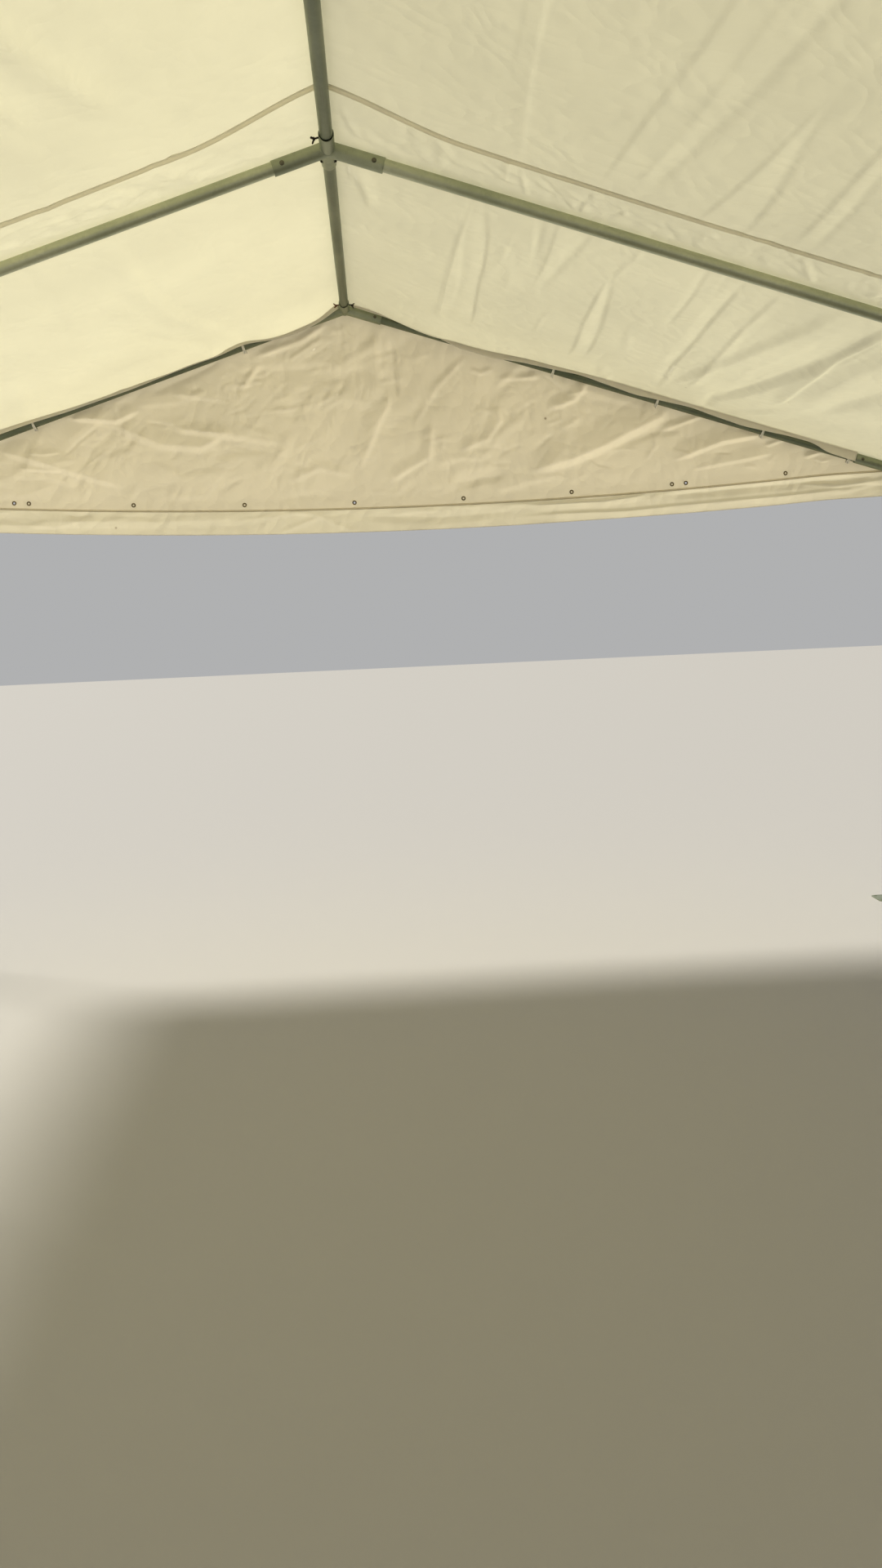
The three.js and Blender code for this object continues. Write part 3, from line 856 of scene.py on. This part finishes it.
gable = {
    "hemSag": 0.070,
    "lowest": 1.954,  # of the valance's seam above the ground
    "seamRise": 0.108,  # from the valance's lower edge up to its seam
    "eyeletRise": 0.026,  # from the seam up to the eyelets
    "eyelets": (0.0, 0.5, 1.0, 1.4675, 1.5325, 2.0),  # from the tent's middle, on both sides
    "eyeletRadius": 0.0098,
    "eyeletHole": 0.0048,
    "overlap": 0.005,  # half the height of the doubled seam
    "plane": endY - 0.0050,
    "bottom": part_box("gable_panel_back")[0].z + 0.070,  # at the corners
    "cell": 0.0064,  # half the cell left open at an eyelet
    "billow": 0.022,  # how far the panel stands into the room halfway up its middle
    "foldHeight": 1.2,  # the folds' height and their reach to the right, against the table below
    "foldRight": 0.75,
    # Small folds: seed, count, their area's two corners, lengths, heights, widths, heading and its spread
    "handled": [(31, 240, (-2.4, 2.0), (2.4, 2.8), (0.05, 0.22), (0.001, 0.0042), (0.009, 0.015), 0.9, 0.8),
                (33, 60, (-2.4, 2.0), (2.4, 2.7), (0.2, 0.6), (0.003, 0.006), (0.03, 0.06), 1.2, 0.4),
                (37, 40, (-0.6, 2.35), (0.0, 2.75), (0.06, 0.18), (0.002, 0.004), (0.009, 0.014), 1.1, 0.3)],
}


def gableTop(x):
    return ridgeZ + (cover["clear"] - 0.0018) / math.cos(pitch) - np.abs(x) * math.tan(pitch)


# The valance's seam hangs in an uneven curve, lowest a little to the right of the middle
def gableSeam(x):
    half = halfSpan + cover["clear"]
    even = gable["bottom"] + gable["seamRise"] - gable["hemSag"] * (1 - (x / half) ** 2)
    uneven = gable["lowest"] + 0.0185 * (x - 0.25) ** 2
    return uneven + (even - uneven) * (smooth(-x, 1.6, 2.4) + smooth(x, 2.1, 2.45))


# Seen in the photograph. Places are across the tent and above the ground.
gableFolds = [
    (1.1, 6, 2.2, -128, 240.5, -105, 238, -93, 243),
    (1.2, 7, 3.5, -110, 238, -86, 227, -68, 225, -55, 231),
    (0.6, 4, 1.6, -78, 233, -52, 230),
    (1, 8, 3, -160, 228, -130, 218, -102, 208.5),
    (0.6, 3, 1.6, -150, 219, -130, 217),
    (0.7, 6, 3, -87, 238, -75, 233, -55, 230, -28, 225),
    (0.9, 3, 2.2, -42, 263.5, -20, 270, -7, 278),
    (0.7, 2.5, 1.8, -27, 261, -10, 271),
    (0.6, 2, 1.8, -48, 250, -40, 260),
    (0.6, 4, 1.6, -80, 249, -55, 245),
    (0.7, 6, 5, 13, 242, 12, 273),
    (-0.6, 4, 2, 21.5, 242, 20.5, 270),
    (0.4, 1.4, 1.2, 12, 260, 22, 264),
    (0.4, 1.4, 1.2, 13, 250, 24, 252),
    (1, 7, 2.8, 3, 212, 12, 232, 17, 240, 18, 248),
    (1, 5, 2.4, 15, 206, 25, 212, 35, 217, 37, 234),
    (0.5, 3, 1.8, 28, 230, 40, 248, 55, 262),
    (0.9, 5, 2.2, 48, 219, 62, 224, 68, 232, 66, 240),
    (0.5, 2, 1.4, 55, 255, 60, 253, 66, 255),
    (1.8, 12, 4.2, 78, 208.5, 100, 213.5, 115, 219, 128, 225, 142, 231, 147, 237),
    (1.1, 5, 2.2, 90, 236, 102, 240, 110, 249),
    (0.9, 3, 2, 142, 225, 164, 232),
    (1.3, 7, 2.4, 146, 211, 170, 219, 192, 222),
    (0.8, 2.2, 1.8, 208, 210.5, 222, 214),
    (0.7, 3, 1.4, 68, 250, 88, 251),
    (0.6, 2, 1.4, 190, 216, 202, 220),
    (-0.8, 5, 4, 45, 205, 70, 208),
    (0.6, 4, 2, -30, 208, -15, 214, 0, 210),
    (0.6, 5, 2, 155, 207, 195, 213),
]
valanceFolds = [
    (1, 1.2, 3, 75, 193.5, 115, 194.5, 132, 196.5, 140, 198),
    (-1, 2.2, 3, 138, 195.5, 175, 197.5, 215, 199.5, 248, 201),
    (0.8, 1.2, 3, 70, 188.5, 95, 189.5, 125, 189.5, 150, 191, 200, 193.5, 245, 196.5),
    (0.7, 1.8, 1.4, 205, 198.5, 230, 197.5, 246, 199),
    (-0.6, 3, 3, 0, 192, 40, 190, 75, 191.5),
    (0.5, 4, 3, -160, 196, -90, 193, -30, 193),
    (0.6, 3, 3, -240, 200, -170, 195, -130, 193),
]


def gableSheet(name, node, sign, table, step):
    half = halfSpan + cover["clear"] - 0.0018
    holesAt = sorted({side * place for side in (-1, 1) for place in gable["eyelets"]})
    rise, cell = gable["eyeletRise"], gable["cell"]
    kept = [place + off for place in holesAt for off in (-cell, cell)]
    columns = np.unique(np.concatenate([spaced(-half, -1.65, 0.02, kept), spaced(-1.65, half, step, kept)]))
    # The lowest rows keep even heights over the seam; the rest share out what is left up to the rafters
    first = [(-gable["overlap"], 0), (0.004, 0.12), (0.012, 0.24), (rise - cell, 0.36), (rise + cell, 0.5),
             (0.042, 0.62)]
    x, share = np.meshgrid(columns, np.linspace(0, 1, int(0.8 / step)))
    low, high = gableSeam(columns), gableTop(columns)
    lower = np.array([low + np.minimum(over, (high - low) * part) for over, part in first])
    z = np.concatenate([lower[:-1], lower[-1] + (high - lower[-1]) * share])
    x = np.broadcast_to(columns, z.shape)
    folds = [(line, height * gable["foldHeight"], left, right * gable["foldRight"])
             for line, height, left, right in inMetres(table)]
    for seed, *values in gable["handled"]:
        folds += handlingFolds(seed + sign, *values)
    fade = smooth(gableTop(x) - z, 0.012, 0.06) * smooth(z - gableSeam(x), 0.03, 0.07)
    fade = fade * smooth(half - np.abs(x), 0, 0.05)
    tall = gableTop(x) - gableSeam(x)
    up = np.clip((z - gableSeam(x) - 0.04) / np.maximum(tall - 0.07, 0.05), 0, 1)
    billow = gable["billow"] * np.clip((tall - 0.1) / 0.7, 0, 1) * np.sin(math.pi * up ** 0.8) ** 1.5
    y = sign * (gable["plane"] - foldHeight(x, z, folds) * fade - billow)
    middles = (x[:-1, :-1] + x[:-1, 1:]) / 2
    eyeletRow = np.arange(len(z) - 1)[:, None] == 3
    holes = eyeletRow & (np.min([np.abs(middles - place) for place in holesAt], axis=0) < 1e-4)
    tall = float(gableTop(0) - gableSeam(0) + gable["overlap"])
    clothPiece(name, np.stack([x, y, z], -1), (x, z), gableFabric,
               [node], holes)
    return [(Vector((place, sign * gable["plane"], float(gableSeam(place)) + rise)), facing((0, -sign, 0)))
            for place in holesAt]


def eyelet():
    outer, hole, rise = gable["eyeletRadius"], gable["eyeletHole"], cover["thickness"] / 2
    profile = [(-rise - 0.0009, hole + 0.0012), (-rise - 0.0007, outer - 0.0008), (-rise - 0.0001, outer),
               (-rise, hole + 0.0006), (rise, hole + 0.0006), (rise + 0.0001, outer),
               (rise + 0.0007, outer - 0.0008), (rise + 0.0011, hole + 0.0012), (rise + 0.0007, hole),
               (-rise - 0.0007, hole)]
    return turned(Shape(), profile, Vector(), upwards, 20)


eyelets = gableSheet("gable_sheet_back", "gable_panel_back", 1, gableFolds, 0.0088)
eyelets += gableSheet("gable_sheet_front", "gable_panel_front", -1, [], 0.014)
repeated("eyelets", fabricSlot, eyelet(), brass, eyelets, 0.04, 7)
print("eyelets", len(eyelets))


# A valance strip hung from its seam: places along it, their outward direction, and heights of its two edges
def valanceStrip(name, along, place, outwards, top, bottom, table, seed):
    v, i = np.meshgrid(np.linspace(0, 1, 25), np.arange(len(along)), indexing="ij")
    z = top[i] + (bottom - top)[i] * v
    handled = handlingFolds(seed, 60, (along[0], 1.92), (along[-1], 2.0), (0.12, 0.6), (0.001, 0.004),
                            (0.012, 0.03), math.pi / 2, 0.08)
    height = foldHeight(along[i], z, inMetres(table) + handled) * smooth(v, 0.05, 0.2)
    height = height - 0.004 * v * ripple(along, seed, 1.1, 0.12)[i]
    grid = np.concatenate([place[i], z[..., None]], -1)
    grid[..., :2] -= np.array(outwards, float) * height[..., None]
    clothPiece(name, grid, (along[i], z), valanceFabric)


half = halfSpan + cover["clear"]
across = np.linspace(0.0005 - half, half - 0.0005, 400)
along = np.linspace(0.002 - endY, endY - 0.002, 320)
for end, sign, table in (("back", 1, valanceFolds), ("front", -1, [])):
    place = np.stack([across, np.full_like(across, sign * (gable["plane"] + 0.0013))], -1)
    lowerEdge = gableSeam(across) - gable["seamRise"] - 0.008 * smooth(across, 1.0, 2.2)
    valanceStrip("valance_" + end, across, place, (0, sign), gableSeam(across) + gable["overlap"], lowerEdge,
                 table, 41 + sign)
for side, sign in sides.items():
    place = np.stack([np.full_like(along, sign * (half + 0.0013)), along], -1)
    upperEdge = np.full_like(along, eaveZ - cover["seamDrop"] + 0.006)
    valanceStrip("valance_" + side, along, place, (sign, 0), upperEdge, np.full_like(along, cover["hem"]), [],
                 51 + sign)

# The folded hem along each end rafter, which hangs on the room's side of the tube and is wavy at its lower
# edge, with elastic loops round the tube
hem = {
    "face": 0.0268,  # from the rafters' centrelines to the hem
    "flap": 0.012,
    # Distances from the ridge plane and depths below the roof
    "left": (3, 1.6, 8, 3.4, 15, 5, 25, 5.6, 33, 5, 40, 3.2, 46, 2.3, 52, 2.6, 57, 3.2, 65, 2.8, 79, 3,
             95, 3.5, 106, 3.4, 117, 3.1, 125, 3, 134, 2.6, 142, 2.2, 155, 2, 200, 2.2, 232, 2.2),
    "right": (3, 1, 15, 1.2, 33, 2.2, 44, 3.8, 51, 5.2, 68, 5.2, 78, 3.6, 93, 2.6, 105, 1.6, 115, 2.2,
              130, 3.2, 140, 2.6, 155, 1.6, 162, 2.2, 180, 3.2, 188.5, 2.6, 200, 1.8, 212, 1.6, 219, 4,
              232, 4.4),
    "ties": {"left": (0.46, 1.41, 1.885, 2.30), "right": (0.93, 1.40, 1.885, 2.29)},
    "cord": 0.0028,
    "cordGap": 0.0066,
}


def rafterHem(name, side, end):
    sign = sides[side]
    out = spaced(0.03, 2.32, 0.010)
    drop = softRun(out, hem[side])
    wave = ripple(out, 61 + sign + end, 0.5, 0.05)
    rows = [(-hem["flap"], 0.0022, 0), (-0.004, 0.0024, 0), (0, 0.0045, 0)]
    rows += [(0, None, k / 8) for k in range(1, 9)]
    points = []
    for shift, depth, share in rows:
        y = frameYs[-1] - hem["face"] + shift - share * (0.003 + 0.004 * wave)
        x, z = roofPoint(out / math.cos(pitch), sagAt(y))
        below = np.full_like(out, depth) if depth else 0.0045 + (np.maximum(drop, 0.007) - 0.0045) * share
        x, z = sign * (x - math.sin(pitch) * below), z - math.cos(pitch) * below
        points.append(np.stack([x, end * y, z], -1))
    grid = np.array(points)
    clothPiece(name, grid, np.meshgrid(out, np.linspace(0, 0.05, len(rows))), hemFabric)


def elasticTie():
    shape, cord = Shape(), hem["cord"]
    lift = upwards * steel["seat"]
    radius = steel["tubeRadius"] + cord + 0.0003
    for side, slack in ((-1, 0.009), (1, 0.012)):
        path = []
        for i, (c, s) in enumerate(roundTurn(32)):
            x = side * hem["cordGap"] / 2 + 0.0012 * math.sin(4 * math.pi * i / 32 + side)
            path.append(lift + Vector((x, -s * (radius + 0.0004), c * radius - max(0, -c) ** 2 * slack)))
        closedCord(shape, path, lift, [cord] * len(path))
    return shape


ties = []
for end, number in ((1, 4), (-1, 1)):
    for side, sign in sides.items():
        rafterHem(f"rafter_hem_{side}_{number}", side, end)
        for across in hem["ties"][side]:
            centre = Vector((0, frameYs[number - 1], ridgeZ)) + downSlope(sign) * (across / math.cos(pitch))
            ties.append((centre, Vector((0, sign * pitch, 0))))
repeated("elastic_ties", fabricSlot, elasticTie(), elastic, ties, 0.05, 9)
print("elastic ties", len(ties))

# Stitching: two rows along each gable's seam
stitch = {"length": 0.0046, "radius": 0.00045, "spacing": 0.0065, "rows": (-0.003, 0.003)}
length, radius = stitch["length"], stitch["radius"]
profile = [(0, 0), (radius, radius), (length - radius, radius), (length, 0)]
oneStitch = turned(Shape(), profile, Vector((-length / 2, 0, 0)), Vector((1, 0, 0)), 6, False)
x = np.linspace(-halfSpan - 0.015, halfSpan + 0.015, 120)
points, edges = [], []
for sign in (-1, 1):
    y = np.full_like(x, sign * (gable["plane"] - cover["thickness"] / 2))
    for over in stitch["rows"]:
        edges += [(len(points) + i, len(points) + i + 1) for i in range(len(x) - 1)]
        points += np.stack([x, y, gableSeam(x) + over], -1).tolist()
mesh = bpy.data.meshes.new("seam_stitches_path")
mesh.from_pydata(points, edges, [])
grown("seam_stitches", fabricSlot, stitchTree, mesh, oneStitch, thread, Spacing=stitch["spacing"],
      Unevenness=0.05, Seed=5)
print("stitches")

# Floor, light and camera
stageValues = {"floor": "#aaa7a1", "floorSize": 60.0, "sunStrength": 4.7, "skyStrength": 0.48,
               "sunFrom": (-0.55, 0.40, 0.73), "sunSpread": 12}
bpy.ops.mesh.primitive_plane_add(size=stageValues["floorSize"], location=(0, 0, 0))
floor = bpy.context.object
floor.name = "floor"
floorMaterial, tree = newMaterial("paleFloor")[:2]
shader = addNode(tree, "ShaderNodeBsdfPrincipled", Base_Color=colour(stageValues["floor"]), Roughness=0.9)
addNode(tree, "ShaderNodeOutputMaterial", Surface=shader)
floor.data.materials.append(floorMaterial)

scene.world = bpy.data.worlds.new("paleStudio")
scene.world.use_nodes = True
sky = scene.world.node_tree.nodes["Background"].inputs
sky["Color"].default_value = colour("#f4f5f6")
sky["Strength"].default_value = stageValues["skyStrength"]

sun = withSettings(bpy.data.lights.new("softKey", "SUN"), energy=stageValues["sunStrength"],
                   angle=math.radians(stageValues["sunSpread"]), color=(1.0, 0.97, 0.91))
withSettings(placed("softKey", sun), rotation_mode="QUATERNION",
             rotation_quaternion=Vector(stageValues["sunFrom"]).to_track_quat("Z", "Y"))

# The photograph's viewing angle, worked out from the eyelets at half a metre and the two frames it shows
view = {"place": (0.0746, -2.9396, 1.4914), "yaw": 2.54, "pitch": -7.89, "roll": -2.51,
        "focalPixels": 1561.37, "pictureHeight": 1920}
lens = withSettings(bpy.data.cameras.new("photoCamera"), sensor_width=36, clip_start=0.02,
                    lens=view["focalPixels"] / view["pictureHeight"] * 36)
scene.camera = placed("photoCamera", lens)
turns = [(-view["yaw"], "Z"), (90 + view["pitch"], "X"), (view["roll"], "Z")]
matrix = Matrix.Translation(view["place"])
for degrees, axis in turns:
    matrix = matrix @ Matrix.Rotation(math.radians(degrees), 4, axis)
scene.camera.matrix_world = matrix
scene.view_settings.view_transform = "Standard"
